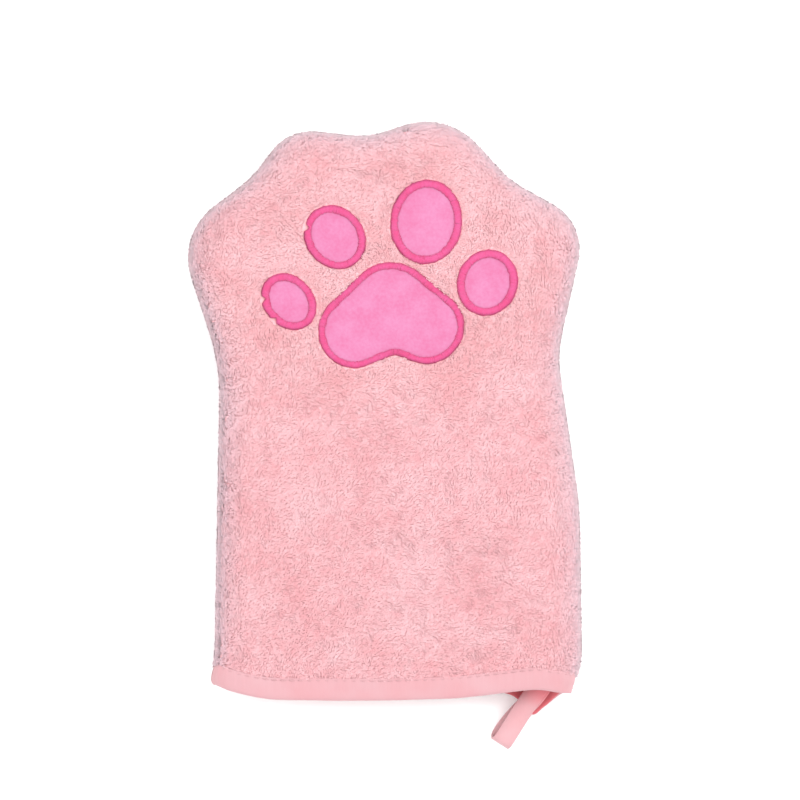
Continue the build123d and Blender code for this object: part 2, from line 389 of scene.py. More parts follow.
def triangulated(ring, spacing, extra=np.zeros((0, 2))):
    """Triangles that fill a closed ring, with extra points inside."""
    low, high = ring.min(0), ring.max(0)
    rows = np.arange(low[1], high[1], spacing * 0.866)
    grid = []                              # rows of equilateral triangles
    for number, y in enumerate(rows):
        xs = np.arange(low[0] + (number % 2) * spacing / 2, high[0], spacing)
        grid.append(np.stack([xs, np.full(len(xs), y)], 1))
    grid = np.concatenate(grid)
    clear = distance(grid, ring)
    keep = inside(grid, ring) & (clear > spacing * 0.6)
    if len(extra):
        gap = np.min(np.linalg.norm(grid[:, None, :] - extra[None, ::2, :], axis=2), axis=1)
        keep &= gap > spacing * 0.7
    body = ring[:-1]
    points = np.concatenate([body, extra, grid[keep]])
    loop = [list(range(len(body)))]
    result = delaunay_2d_cdt([Vector(p) for p in points.tolist()], [], loop, 1, 1e-4)
    places = np.array([list(p) for p in result[0]])
    faces = np.array([list(f) for f in result[2] if len(f) == 3])
    a, b, c = (places[faces[:, k]] for k in range(3))
    cross = np.cross(b - a, c - a)
    faces[cross < 0] = faces[cross < 0][:, ::-1]
    return places, faces, len(body)


def value_noise(points, size, offset=0.0):
    """Smooth noise from -1 to 1 at each point, with features of that size."""
    return np.array([noise.noise(Vector((x / size + offset, y / size - offset, z / size)))
                     for x, y, z in points.tolist()])


def plan_noise(flat, size, layer):
    """Smooth noise at places of the plan; each layer gives another pattern."""
    return np.array([noise.noise(Vector((x / size, y / size, layer))) for x, y in flat.tolist()])


# -------- panels
class Panel:
    """One knitted panel: its flat cut, its lying shape and how to find its surface."""

    def __init__(self, hem, side):
        self.side = side                       # +1 padded face, -1 plain face
        self.hem = smooth_line(hem)
        flank = shrunk(PAW, GROUND_INSET)
        above = flank[:-1, 1] > self.hem_y(flank[:-1, 0]) + 1.0
        first = int(np.flatnonzero(above & ~np.roll(above, 1))[0])
        body = np.roll(flank[:-1], -first, axis=0)
        self.seam = resampled(body[:int(above.sum())], SHEET_STEP)
        right, left = self.seam[0], self.seam[-1]
        xs = np.linspace(left[0], right[0], int((right[0] - left[0]) / SHEET_STEP) + 1)[1:-1]
        cuff = np.stack([xs, self.hem_y(xs) + 1.0], 1)
        ring = np.concatenate([self.seam, cuff, self.seam[:1]])
        inner = []
        normals = left_normals(self.seam)
        for depth in EDGE_RINGS:
            row = self.seam + depth * normals
            inner.append(row[row[:, 1] > self.hem_y(row[:, 0]) + 2.0])
        extra = np.concatenate(inner)
        self.flat, self.faces, count = triangulated(ring, SHEET_STEP, extra)
        self.flank_line = flank[flank[:, 1] > CUFF_END - 15]
        start = int(np.argmax(np.linalg.norm(np.diff(self.flank_line, axis=0), axis=1)))
        if np.linalg.norm(self.flank_line[start + 1] - self.flank_line[start]) > 20:
            self.flank_line = np.roll(self.flank_line, -start - 1, axis=0)
        height = self.level(self.flat)
        self.points = np.concatenate([self.flat, height[:, None]], 1)
        self.held = np.zeros(len(self.points), bool)
        self.held[:count + len(extra)] = True
        if side < 0:
            self.faces = self.faces[:, ::-1]

    def hem_y(self, x):
        return np.interp(x, self.hem[:, 0], self.hem[:, 1])

    def level(self, flat):
        """Height of the ground over the flat shape, curved down to the seam."""
        d = distance(flat, self.flank_line)
        rise = np.sqrt(np.clip(1 - (1 - np.clip(d / EDGE_ROUND, 0, 1)) ** 2, 0, 1))
        reach = (FRONT_GROUND_Z if self.side > 0 else BACK_GROUND_Z) - SEAM_Z
        return SEAM_Z + reach * rise

    def finish(self, moved):
        """Takes the settled shape, refines it and keeps a tree for finding the surface."""
        shift = SETTLE_CAP * np.tanh((moved - self.points) / (3 * SETTLE_CAP))
        if self.side < 0:
            shift[:, 2] = np.clip(shift[:, 2], 0, 0.8)
        self.points = self.points + shift
        obj = mesh_object("sheet", self.points, self.faces)
        smooth = obj.modifiers.new("refine", "SUBSURF")
        smooth.levels = smooth.render_levels = 2
        apply_modifiers(obj)
        self.fine = coordinates(obj)
        self.normals = vectors(obj.data.vertex_normals, "vector")
        self.quads = np.array([list(f.vertices) for f in obj.data.polygons])
        bpy.data.objects.remove(obj)
        if self.side > 0:
            self.press_pads()
        self.tree = BVHTree.FromPolygons(self.fine.tolist(), self.quads.tolist())

    def press_pads(self):
        """The embroidery holds the ground down and flat."""
        flat = self.fine[:, :2]
        for ring, _ in PADS.values():
            d = distance(flat, ring)
            d[inside(flat, ring)] *= -1
            press = 1 / (1 + np.exp((d - 0.6) / 0.7))
            self.fine[:, 2] -= PAD_PRESS * press

    def height(self, x, y):
        """Height of the ground above or below a place."""
        start = Vector((x, y, SEAM_Z + 60 * self.side))
        hit = self.tree.ray_cast(start, Vector((0, 0, -self.side)))
        return hit[0].z if hit[0] else SEAM_Z

    def heights(self, flat):
        return np.array([self.height(x, y) for x, y in flat.tolist()])

    def nearest(self, point):
        place, normal, _, _ = self.tree.find_nearest(Vector(point))
        return np.array(place), np.array(normal)


def settle(panels):
    """Both sheets as slack cloth, held along the seam and the cuff, filled by a little air."""
    points = np.concatenate([panel.points for panel in panels])
    faces = np.concatenate([panels[0].faces, panels[1].faces + len(panels[0].points)])
    held = np.concatenate([panel.held for panel in panels])
    points[:, 2] += np.where(held, 0, 0.25 * value_noise(points, 19.0, 3.1))
    cloth_object = mesh_object("settling", points, faces)
    group = cloth_object.vertex_groups.new(name="held")
    group.add(np.flatnonzero(held).tolist(), 1.0, "REPLACE")
    cloth = cloth_object.modifiers.new("cloth", "CLOTH")
    cloth.settings.vertex_group_mass = "held"
    for key, value in SLACK_CLOTH.items():
        setattr(cloth.settings, key, value)
    cloth.settings.effector_weights.gravity = 0
    cloth.collision_settings.use_collision = False
    cloth.collision_settings.use_self_collision = False
    scene = bpy.context.scene
    for number in range(SETTLE_FRAMES):
        scene.frame_set(number + 1)
    apply_modifiers(cloth_object)
    moved = coordinates(cloth_object)
    bpy.data.objects.remove(cloth_object)
    scene.frame_set(1)
    return np.split(moved, [len(panels[0].points)])


front = Panel(FRONT_HEM, +1)
back = Panel(BACK_HEM, -1)
for panel, moved in zip((front, back), settle((front, back))):
    panel.finish(moved)


# -------- materials
class Look:
    """A material in the making: its shader, and short ways to wire colour, gloss and bump."""

    def __init__(self, name):
        self.material = bpy.data.materials.new(name)
        self.material.use_nodes = True
        tree = self.material.node_tree
        self.nodes, self.link = tree.nodes, tree.links.new
        self.shader = self.nodes["Principled BSDF"]
        self.place = self.nodes.new("ShaderNodeTexCoord").outputs["Object"]

    def node(self, kind, **inputs):
        node = self.nodes.new(kind)
        for name, value in inputs.items():
            node.inputs[name].default_value = value
        return node

    def noise(self, scale, detail=2.0, rough=0.5):
        node = self.node("ShaderNodeTexNoise", Scale=scale, Detail=detail, Roughness=rough)
        self.link(self.place, node.inputs["Vector"])
        return node.outputs["Fac"]

    def ribs(self, scale, distortion=0.0, direction="X"):
        node = self.node("ShaderNodeTexWave", Scale=scale, Distortion=distortion)
        node.bands_direction = direction
        self.link(self.place, node.inputs["Vector"])
        return node.outputs["Fac"]

    def ramp(self, factor, low, high, margin=0.3):
        """A colour from low to high, which changes between margin and 1 - margin."""
        node = self.nodes.new("ShaderNodeValToRGB")
        for element, at, colour in zip(node.color_ramp.elements, (margin, 1 - margin), (low, high)):
            element.position = at
            element.color = (*colour, 1)
        self.link(factor, node.inputs["Fac"])
        return node.outputs["Color"]

    def mixed(self, a, b, factor):
        node = self.nodes.new("ShaderNodeMix")
        node.data_type = "RGBA"
        for value, socket in ((a, node.inputs[6]), (b, node.inputs[7]), (factor, node.inputs[0])):
            if isinstance(value, bpy.types.NodeSocket):
                self.link(value, socket)
            else:
                socket.default_value = value
        return node.outputs[2]

    def tinted(self, colour, tint, name):
        """The colour, drawn to a tint by the value of that name that each point carries; here it lays
        painted shade and sheen.
        """
        value = self.nodes.new("ShaderNodeAttribute")
        value.attribute_name = name
        return self.mixed(colour, (*tint, 1), value.outputs["Fac"])

    def two_tone(self, low, high, coarse, fine):
        """Cloth colour that drifts between two tones over two sizes of patch."""
        return self.ramp(self.mixed(self.noise(coarse), self.noise(fine), 0.45), low, high, 0.36)

    def bump(self, height, strength, depth):
        node = self.node("ShaderNodeBump", Strength=strength, Distance=depth * MM)
        self.link(height, node.inputs["Height"])
        self.link(node.outputs["Normal"], self.shader.inputs["Normal"])

    def surface(self, colour, rough, sheen=0.0, gloss=0.2):
        self.link(colour, self.shader.inputs["Base Color"])
        self.shader.inputs["Roughness"].default_value = rough
        self.shader.inputs["Specular IOR Level"].default_value = gloss
        self.shader.inputs["Sheen Weight"].default_value = sheen


def srgb(red, green, blue):
    """A display colour out of 255 as scene-linear values."""
    return tuple(((c / 255 + 0.055) / 1.055) ** 2.4 if c > 10 else c / 3294.6 for c in (red, green, blue))


def seen(red, green, blue):
    """The albedo that shows as this display colour on a level place in the studio."""
    return tuple(c / LEVEL_LIGHT for c in srgb(red, green, blue))


def plush_pile():
    look = Look("plush_pile")
    colour = look.two_tone(PILE_LOW, PILE_HIGH, coarse=45, fine=420)
    # the pile turns to the flank grey where the flank value is high: painted grazing sheen and shade
    look.surface(look.tinted(colour, PILE_FLANK_SHEEN_SHADE, "flank"), rough=0.85, sheen=0.3)
    return look.material


def plush_ground():
    look = Look("plush_ground")
    # the ground is lighter than the pile: painted light in the shaded gaps between the tufts
    look.surface(look.two_tone(GROUND_LIGHTENED_LOW, GROUND_LIGHTENED_HIGH, coarse=60, fine=700), rough=0.95, sheen=0.2)
    look.bump(look.noise(1500, detail=3.0), strength=0.7, depth=0.3)
    return look.material


def knit_inside_painted_shade():
    # the coral here is painted shade and bounced light inside the mitt
    look = Look("knit_inside_painted_shade")
    ribs = look.ribs(260, distortion=1.5)
    both = look.mixed(ribs, look.noise(90, detail=3.0), 0.6)
    look.surface(look.ramp(both, INSIDE_SHADE_LOW, INSIDE_SHADE_HIGH), rough=0.9, sheen=0.15)
    look.bump(ribs, strength=0.6, depth=0.25)
    return look.material


def pad_nap():
    look = Look("pad_nap")
    look.surface(look.two_tone(PAD_LOW, PAD_HIGH, coarse=130, fine=900), rough=0.8, sheen=0.5)
    look.bump(look.noise(1900, detail=4.0, rough=0.6), strength=0.5, depth=0.16)
    return look.material


def satin_thread():
    look = Look("satin_thread")
    look.surface(look.two_tone(SATIN_LOW, SATIN_HIGH, coarse=160, fine=1100), rough=0.5, sheen=0.2)
    look.bump(look.noise(2600), strength=0.35, depth=0.08)
    return look.material


def satin_underlay_and_shade():
    # darker than the satin: partly the underlay's own thread, partly painted shade at the border's rim
    look = Look("satin_underlay_and_shade")
    look.surface(look.two_tone(UNDERLAY_SHADE_LOW, UNDERLAY_SHADE_HIGH, coarse=200, fine=1200), rough=0.8)
    look.bump(look.noise(2600), strength=0.5, depth=0.1)
    return look.material


def knitted_tape(name, low, high, root_shade):
    """Fine knitted tape of small ribs, with painted shade and coral light where it runs into the mitt."""
    look = Look(name)
    ribs = look.ribs(620, distortion=3.0)
    both = look.mixed(ribs, look.noise(70, detail=3.0), 0.85)
    look.surface(look.tinted(look.ramp(both, low, high), root_shade, "root"), rough=0.75, sheen=0.3)
    look.bump(ribs, strength=0.35, depth=0.12)
    return look.material


def shaded_tape_within():
    """The folded-in half of the tape, painted coral as the shade and bounced light inside the mitt's
    mouth.
    """
    look = Look("knit_tape_within")
    shade = look.noise(160, detail=3.0)
    look.surface(look.ramp(shade, INSIDE_SHADE_LOW, INSIDE_SHADE_HIGH), rough=0.85, sheen=0.2)
    look.bump(look.noise(1700), strength=0.4, depth=0.1)
    return look.material


def sewing_thread():
    look = Look("sewing_thread")
    twist = look.ribs(900, direction="DIAGONAL")
    look.surface(look.ramp(twist, THREAD_LOW, THREAD_HIGH, 0.2), rough=0.6, sheen=0.2)
    look.bump(twist, strength=0.5, depth=0.1)
    return look.material


def non_woven():
    look = Look("non_woven")
    look.surface(look.two_tone(BACKING_LOW, BACKING_HIGH, coarse=300, fine=1400), rough=0.9)
    look.bump(look.noise(1300, detail=5.0, rough=0.7), strength=0.7, depth=0.15)
    return look.material


def pale_floor():
    look = Look("pale_floor")
    look.surface(look.ramp(look.noise(30), FLOOR_LOW, FLOOR_HIGH, 0.0), rough=1.0, gloss=0.0)
    return look.material


PILE_LOW, PILE_HIGH = srgb(204, 146, 151), srgb(211, 167, 172)
# painted grazing sheen and shade on the pile where the panels turn down at their flanks
PILE_FLANK_SHEEN_SHADE = srgb(203, 171, 180)
# lighter than the pile: painted light that eases the shade in the gaps between the tufts
GROUND_LIGHTENED_LOW, GROUND_LIGHTENED_HIGH = srgb(226, 170, 175), srgb(232, 180, 185)
# coral painted as the shade and bounced pink light inside the mitt, for the inside knit and the tape's
# folded-in half
INSIDE_SHADE_LOW, INSIDE_SHADE_HIGH = srgb(188, 86, 93), srgb(200, 104, 110)
PAD_LOW, PAD_HIGH = seen(254, 138, 191), seen(257, 160, 210)
SATIN_LOW, SATIN_HIGH = seen(264, 92, 160), seen(264, 112, 180)
# darker than the satin: partly the underlay's own thread, partly painted shade where the pile meets the
# border
UNDERLAY_SHADE_LOW, UNDERLAY_SHADE_HIGH = seen(240, 82, 138), seen(262, 102, 160)
TAPE_LOW, TAPE_HIGH = seen(258, 188, 195), seen(258, 202, 209)
# a lighter copy of the tape's colours: painted light that makes up for the shade the mitt casts on the
# loop
LOOP_BRIGHTENED_LOW, LOOP_BRIGHTENED_HIGH = seen(268, 200, 206), seen(270, 213, 219)
# painted shade and coral light, for the loop where it runs in under the front hem and for one end of the
# cuff tape
LOOP_ROOT_SHADE = srgb(222, 116, 124)
TAPE_END_SHADE = seen(214, 138, 138)
THREAD_LOW, THREAD_HIGH = seen(250, 184, 190), seen(255, 200, 206)
BACKING_LOW, BACKING_HIGH = srgb(232, 222, 220), srgb(250, 246, 244)
FLOOR_LOW, FLOOR_HIGH = (0.93, 0.93, 0.93), (0.96, 0.96, 0.96)

PILE = plush_pile()
GROUND = plush_ground()
SHADED_INSIDE = knit_inside_painted_shade()
PAD = pad_nap()
SATIN = satin_thread()
UNDERLAY_SHADE = satin_underlay_and_shade()
TAPE = knitted_tape("knit_tape", TAPE_LOW, TAPE_HIGH, TAPE_END_SHADE)
THREAD = sewing_thread()
TAPE_WITHIN_SHADE = shaded_tape_within()
BACKING = non_woven()
# the loop's brightened colours are painted light
BRIGHTENED_LOOP = knitted_tape("loop_tape", LOOP_BRIGHTENED_LOW, LOOP_BRIGHTENED_HIGH, LOOP_ROOT_SHADE)


def sewn(obj, slot_name, *nodes):
    """A piece of the pouch: hides the CAD parts it stands for and fixes its transform into its points."""
    if nodes:
        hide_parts(*nodes)
    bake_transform(obj)
    return obj


# -------- plush
def ground_piece(panel, name, node):
    """The knitted ground as cloth of real thickness, its inside and rim left as plain knit, painted coral
    as the shade inside the mitt.
    """
    points = panel.fine.copy()
    count = len(points)
    inner = points - CLOTH_THICK * panel.normals
    outer = points + panel.normals * (0.22 * value_noise(points, 1.9))[:, None]
    quads = panel.quads
    edges = {}
    for face in quads.tolist():
        for a, b in zip(face, face[1:] + face[:1]):
            edges[(a, b)] = True
    rim = [(b, a) for a, b in edges if (b, a) not in edges]
    sides = np.array([[a, b, b + count, a + count] for a, b in rim])
    faces = np.concatenate([quads, quads[:, ::-1] + count, sides])
    which = np.concatenate([np.zeros(len(quads)), np.ones(len(quads) + len(sides))])
    obj = mesh_object(name, np.concatenate([outer, inner]), faces, [GROUND, SHADED_INSIDE], per_face=which)
    plan_map(obj, which)
    return sewn(obj, "plush", node)


def declare_sheets(grounds):
    """Works out how deep each panel lies from the seam, and keeps nothing."""
    for ground, panel, words in grounds:
        depth = abs(panel.level(np.zeros((1, 2)))[0] - SEAM_Z)


def flow(points, normals, panel):
    """Unit directions in which the pile leans, and how steep its ground is: the pile swirls,
    turns outward near the edge, and is combed away from the embroidery."""
    turn = 2.0 * value_noise(points, 34.0, 5.0) + 2.2 * value_noise(points, 5.0, 1.7)
    angle = PILE_LEAN + turn
    lean = np.stack([np.cos(angle), np.sin(angle), np.zeros(len(points))], 1)
    steep = np.clip((0.9 - np.abs(normals[:, 2])) / 0.5, 0, 1)
    outward = unit(normals * [1, 1, 0])
    lean = lean * (1 - steep)[:, None] + outward * steep[:, None] * 0.8
    if panel.side > 0:
        for ring, _ in PADS.values():
            centre = ring.mean(0)
            near = np.linalg.norm(points[:, :2] - centre, axis=1) < np.ptp(ring, axis=0).max() / 2 + 8
            flat = points[near, :2]
            away = unit(flat - shrunk(ring, 0.1)[nearest_on(flat, ring)])
            pull = np.clip(1.0 - distance(flat, ring) / 2.4, 0, 1)[:, None]
            lean[near, :2] = lean[near, :2] * (1 - pull) + away * pull * 1.1
    lean -= normals * np.sum(lean * normals, axis=1)[:, None]
    return unit(lean), steep


def pile_roots(panel, density, rng):
    """Evenly scattered places on the ground, clear of the pads and the binding."""
    triangles = np.concatenate([panel.quads[:, [0, 1, 2]], panel.quads[:, [0, 2, 3]]])
    a, b, c = (panel.fine[triangles[:, k]] for k in range(3))
    area = np.linalg.norm(np.cross(b - a, c - a), axis=1) / 2
    area *= 1 + FLANK_EXTRA * (1 - np.abs(panel.normals[triangles[:, 0], 2]))
    count = int(area.sum() * density)
    shares = np.cumsum(area) / area.sum()
    chosen = np.searchsorted(shares, (np.arange(count) + rng.random(count)) / count)
    chosen = np.minimum(chosen, len(area) - 1)
    u, v = rng.random(count), rng.random(count)
    flip = u + v > 1
    u[flip], v[flip] = 1 - u[flip], 1 - v[flip]
    points = a[chosen] + u[:, None] * (b - a)[chosen] + v[:, None] * (c - a)[chosen]
    normals = panel.normals[triangles[chosen, 0]]
    start = panel.hem_y(points[:, 0]) + BINDING_WIDTH + FOLD_REACH - 1.4 * rng.random(count)
    keep = points[:, 1] > start
    if panel.side > 0:
        for ring, _ in PADS.values():
            low, high = ring.min(0), ring.max(0)
            near = np.all((points[:, :2] > low) & (points[:, :2] < high), axis=1)
            near[near] = inside(points[near, :2], ring)
            keep &= ~near
    return points[keep], normals[keep]


def tufts(panel, density, rng):
    """Closed spindles, each a lock of pile: root, three corners and tip."""
    points, normals = pile_roots(panel, density, rng)
    count = len(points)
    lean, steep = flow(points, normals, panel)
    length = TUFT_LENGTH * (0.75 + 0.5 * rng.random(count)) * (1 + 0.4 * steep)
    across = np.cross(normals, lean)
    sway = (rng.random(count) - 0.5) * SWAY
    lean = lean * np.cos(sway)[:, None] + across * np.sin(sway)[:, None]
    rise = RISE[0] + RISE[1] * rng.random(count)
    rise = rise * (1 - steep) + (STEEP_RISE[0] + STEEP_RISE[1] * rng.random(count)) * steep
    if panel.side < 0:
        rise = np.where(points[:, 2] < 4.0, RESTING_RISE, rise)
    reach = np.sqrt(1 - rise ** 2)
    tips = points + normals * (length * rise)[:, None] + lean * (length * reach)[:, None]
    cells = np.floor(points / CLUMP + 0.35 * np.sin(points[:, [1, 2, 0]] * 1.7)).astype(np.int64)
    keys = (cells[:, 0] + 400) + (cells[:, 1] + 400) * 1000 + (cells[:, 2] + 50) * 1000000
    _, group = np.unique(keys, return_inverse=True)
    members = np.bincount(group)
    centre = np.stack([np.bincount(group, tips[:, k]) / members for k in range(3)], 1)[group]
    tips += CLUMP_PULL * (centre - tips)
    belly = points + 0.42 * (tips - points) + normals * (0.22 * length)[:, None]
    root = points - normals * 0.5
    if panel.side < 0:
        tips[:, 2] = np.maximum(tips[:, 2], 0.12)
        belly[:, 2] = np.maximum(belly[:, 2], 0.35)
    along = unit(tips - root)
    side_a = unit(np.cross(along, normals))
    side_b = np.cross(along, side_a)
    half = TUFT_WIDTH * (0.38 + 0.3 * rng.random(count))
    spin = rng.random(count) * 2.1
    corners = []
    for third in range(3):
        angle = spin + third * 2 * math.pi / 3
        over, aside = half * np.cos(angle), half * np.sin(angle)
        corners.append(belly + side_a * over[:, None] + side_b * aside[:, None])
    shading = unit(normals + 0.25 * lean)
    # how far the ground turns down sets how much painted grazing sheen and shade each tuft carries
    turned = np.clip((0.985 - np.abs(normals[:, 2])) / 0.42, 0, 1)
    flank_sheen_and_shade = np.clip(turned * (0.55 + 0.7 * rng.random(count)), 0, 1)
    return points, np.stack([root, *corners, tips], 1), shading, flank_sheen_and_shade


SPINDLE = np.array([[0, 2, 1], [0, 3, 2], [0, 1, 3], [4, 1, 2], [4, 2, 3], [4, 3, 1]])


def plush_pieces(panel, name, density, bands, rng):
    """The pile as several pieces, one for each band of the panel's length."""
    roots, spindles, shading, flank_sheen_and_shade = tufts(panel, density, rng)
    order = np.argsort(roots[:, 1], kind="stable")
    for number, part in enumerate(np.array_split(order, bands)):
        chosen = spindles[part]
        points = chosen.reshape(-1, 3)
        faces = (np.arange(len(part))[:, None, None] * 5 + SPINDLE[None]).reshape(-1, 3)
        obj = mesh_object(f"{name}_{number + 1}", points, faces, PILE)
        shade_along(obj, np.repeat(shading[part], 5, axis=0))
        # the flank value is the painted grazing sheen and shade of each tuft
        point_value(obj, "flank", np.repeat(flank_sheen_and_shade[part], 5))
        plan_map(obj)
        sewn(obj, "plush")


rng = np.random.default_rng(SEED)
front_ground = ground_piece(front, "front_plush_ground", "front_panel")
back_ground = ground_piece(back, "back_plush_ground", "back_panel")
plush_pieces(front, "front_pile", FRONT_DENSITY, 5, rng)
plush_pieces(back, "back_pile", BACK_DENSITY, 3, rng)


# -------- tubes and strips
def tubes(paths, width, height, up, sides=6):
    """Closed tubes along many paths of equal point count; the height is measured along up."""
    count, length = paths.shape[:2]
    half_width, half_height = (np.broadcast_to(v, (count, length))[..., None] / 2 for v in (width, height))
    along = unit(np.gradient(paths, axis=1))
    across = unit(np.cross(along, up))
    lift = np.cross(across, along)
    rings = []
    for side in range(sides):
        angle = 2 * math.pi * side / sides
        rings.append(paths + across * half_width * math.cos(angle)
                     + lift * half_height * math.sin(angle))
    points = np.stack(rings, 2).reshape(-1, 3)
    faces = []
    for ring in range(length - 1):
        for side in range(sides):
            a, b = ring * sides + side, ring * sides + (side + 1) % sides
            faces.append([a, a + sides, b + sides, b])
    last = (length - 1) * sides
    for k in range(1, sides - 2, 2):
        faces.append([0, k, k + 1, k + 2])
        faces.append([last, last + k + 2, last + k + 1, last + k])
    faces = np.array(faces)
    faces = (np.arange(count)[:, None, None] * length * sides + faces[None]).reshape(-1, 4)
    return points, faces


def lofted(columns, closed=False):
    """A closed skin over columns that are each a ring of points, with flat ends."""
    columns = np.asarray(columns)
    count, ring = columns.shape[:2]
    faces = []
    for i in range(count if closed else count - 1):
        for k in range(ring):
            a, b = i * ring + k, i * ring + (k + 1) % ring
            c, d = (i + 1) % count * ring + (k + 1) % ring, (i + 1) % count * ring + k
            faces.append([a, b, c, d])
    if not closed:
        last = (count - 1) * ring
        for k in range(ring // 2 - 1):
            faces.append([k, ring - 1 - k, ring - 2 - k, k + 1])
            faces.append([last + k, last + k + 1, last + ring - 2 - k, last + ring - 1 - k])
    return columns.reshape(-1, 3), np.array(faces)


def thick_sheet(top, faces, border, thickness):
    """A closed sheet under its top points; the first border points go round its edge."""
    count = len(top)
    under = top - [0, 0, thickness]
    ring = np.arange(border)
    following = np.roll(ring, -1)
    walls = [[a, a + count, b + count] for a, b in zip(ring, following)]
    walls += [[a, b + count, b] for a, b in zip(ring, following)]
    return np.concatenate([top, under]), np.concatenate([faces, faces[:, ::-1] + count, np.array(walls)])


def along_ring(ring, step):
    """Even points round a closed ring, last point left out, with outward normals."""
    body = resampled(anticlockwise(ring), step)[:-1]
    return body, -inward(body)


# -------- pads
def pad_patch(name, ring, satin):
    """Short-nap fabric, a little crowned between its stitched edges."""
    edge, _ = along_ring(shrunk(ring, satin - PATCH_OVERLAP), 0.7)
    rim = looped(edge)
    flat, faces, border = triangulated(rim, 0.8)
    d = distance(flat, rim)
    rise = PATCH_LIFT + PATCH_CROWN * (1 - np.exp(-d / 3.5))
    z = front.heights(flat) + rise
    top = np.column_stack([flat, z])
    top[:, 2] += 0.05 * value_noise(top, 1.3) + 0.12 * value_noise(top, 6.0)
    sheet = thick_sheet(top, faces, border, PATCH_THICK)
    sewn(mesh_object(name + "_nap", *sheet, PAD), "pad_fabric", name + "_patch")


def satin_border(name, ring, satin, rng):
    """Hundreds of arched stitches over a darker under-stitched edge, partly its own darker thread and
    partly painted shade at the border's rim.
    """
    body, outward = along_ring(ring, STITCH_STEP)
    count = len(body)
    drift = plan_noise(body, 4, 9)
    reach = SATIN_REACH + 0.25 * drift + 0.07 * rng.standard_normal(count)
    gap = np.zeros(count)
    for place in BORDER_GAPS:
        from_gap = np.linalg.norm(body - place, axis=1)
        if from_gap.min() < 2.0:
            gap = np.maximum(gap, np.exp(-((from_gap - from_gap.min()) / 0.6) ** 2))
    outer = body + outward * (reach - GAP_DEPTH * gap)[:, None]
    inner = body - outward * (satin + 0.1 * rng.standard_normal(count))[:, None]
    inner = inner + left_of(outward) * (0.25 + 0.08 * rng.standard_normal(count))[:, None]
    t = np.linspace(0, 1, 7)[None, :, None]
    flat = outer[:, None] * (1 - t) + inner[:, None] * t
    base = 0.5 * (front.heights(outer) + front.heights(inner))
    base = np.convolve(np.concatenate([base[-20:], base, base[:20]]), np.ones(41) / 41, "valid")
    arch = SATIN_LIFT + SATIN_CROWN * np.sin(np.pi * np.clip(t[..., 0], 0.03, 0.97)) ** 0.6
    z = base[:, None] + arch + 0.05 * rng.standard_normal(count)[:, None]
    paths = np.concatenate([flat, z[..., None]], 2)
    taper = np.array([0.55, 0.9, 1, 1, 1, 0.9, 0.55])[None].repeat(count, 0)
    stitches = tubes(paths, STITCH_WIDE * taper, STITCH_HIGH * taper, UP)
    sewn(mesh_object(name + "_satin", *stitches, SATIN), "satin_thread", name + "_border")
    # the under-stitched edge: partly real underlay, partly painted shade at the border's rim
    columns = []
    for i in range(0, count, 2):
        a = body[i] + outward[i] * (reach[i] + UNDER_OUT - GAP_DEPTH * gap[i])
        b = body[i] - outward[i] * (satin + 0.35 * drift[i] + 0.1 * rng.standard_normal())
        low, high = base[i] + 0.1, base[i] + SATIN_LIFT + 0.12
        columns.append([(*a, low), (*b, low), (*b, high + 0.1), (*a, high)])
    points, faces = lofted(columns, closed=True)
    sewn(mesh_object(name + "_under_edge_and_shade", points, faces[:, ::-1], UNDERLAY_SHADE), "satin_thread")


def embroidery_backing():
    """Torn non-woven left behind each pad, inside the mitt."""
    parts, faces_all, total = [], [], 0
    for number, (ring, _) in enumerate(PADS.values()):
        edge, outward = along_ring(ring, 1.2)
        torn = plan_noise(edge, 2.3, 4.0 + number)
        rim = looped(edge + outward * (1.2 + 0.7 * torn)[:, None])
        flat, faces, border = triangulated(rim, 2.0)
        z = front.heights(flat) - CLOTH_THICK - BACKING_GAP
        top = np.column_stack([flat, z])
        points, faces = thick_sheet(top, faces, border, BACKING_THICK)
        parts.append(points)
        faces_all.append(faces + total)
        total += len(points)
    obj = mesh_object("embroidery_non_woven", np.concatenate(parts), np.concatenate(faces_all), BACKING)
    sewn(obj, "backing", "embroidery_backing")


for pad_name, (ring, satin) in PADS.items():
    pad_patch(pad_name, ring, satin)
    satin_border(pad_name, ring, satin, rng)
embroidery_backing()


# -------- cuff
def hem_columns(panel):
    """Places along the cuff edge, over the rounded sides, with the distance along."""
    xs = np.linspace(panel.seam[-1][0], panel.seam[0][0], 500)
    row = np.stack([xs, panel.hem_y(xs) + 2.0], 1)
    curve = np.column_stack([row, panel.level(row)])
    return resampled(curve, CUFF_STEP)


def cuff_point(panel, column, up, lift):
    """A point on the cuff's cloth, up from its edge and lifted off the ground."""
    x, y, z = column
    place, normal = panel.nearest((x, y - 2.0 + FOLD_REACH + max(up, 1.2), z))
    place = place + normal * lift
    if up < 1.2:
        place[1] -= 1.2 - up
    return place


def closing_column(column, side):
    """The end of a tape carried on just past the seam, to meet the other panel's tape."""
    end = np.array(column)
    past = SEAM_Z - side * TAPE_MEETS - end[:, 2].mean()
    return list(end + [0, 0, past if past * side < 0 else 0])


